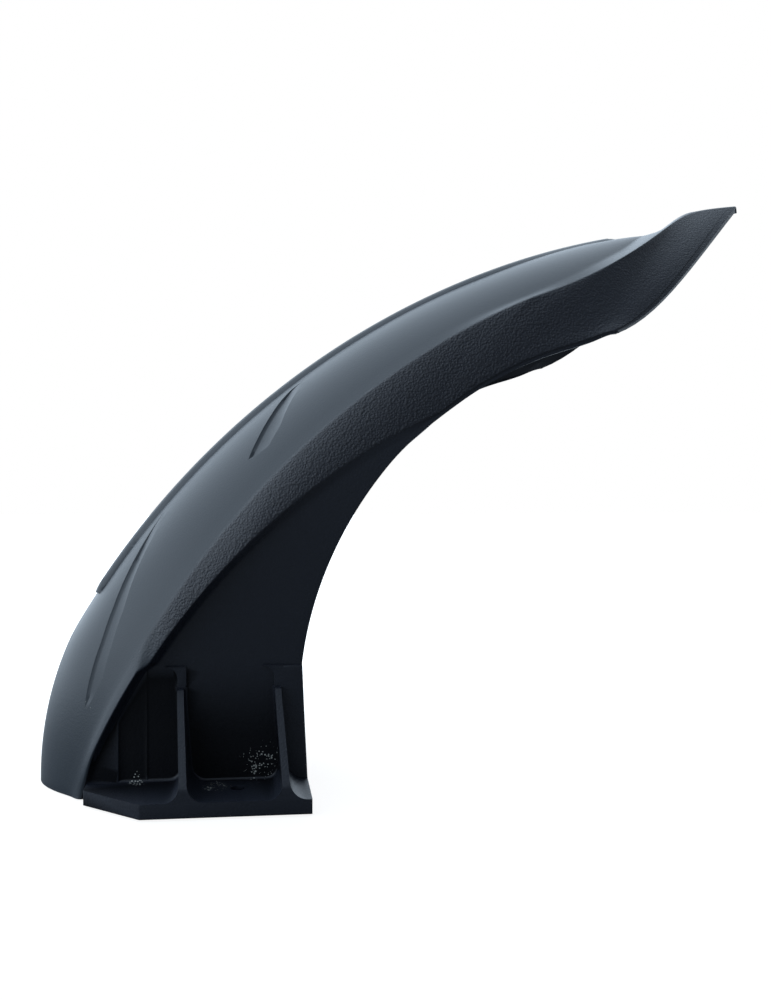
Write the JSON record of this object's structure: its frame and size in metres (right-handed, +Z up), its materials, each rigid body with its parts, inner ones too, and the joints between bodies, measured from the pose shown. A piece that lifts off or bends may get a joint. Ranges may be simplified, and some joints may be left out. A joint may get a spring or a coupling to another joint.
{
  "type": "scooter mudguard",
  "caption": "Curved one-piece scooter mudguard with flat screw flanges, gusset ribs, a raised spine and a swept-up pointed lip.",
  "frame": {"origin": "midway between the two fixing holes, on the underside of the flanges", "axes": "+X forward along the guard towards the lip, +Y across the wheel, +Z up, away from the surface the flanges are screwed to"},
  "size_m": [0.2978, 0.116, 0.2407],
  "materials": {
    "moulded_plastic": "moulded black plastic, satin on top and grained on the sides"
  },
  "bodies": {
    "root": {"mudguard": "moulded_plastic"}
  },
  "joints": []
}
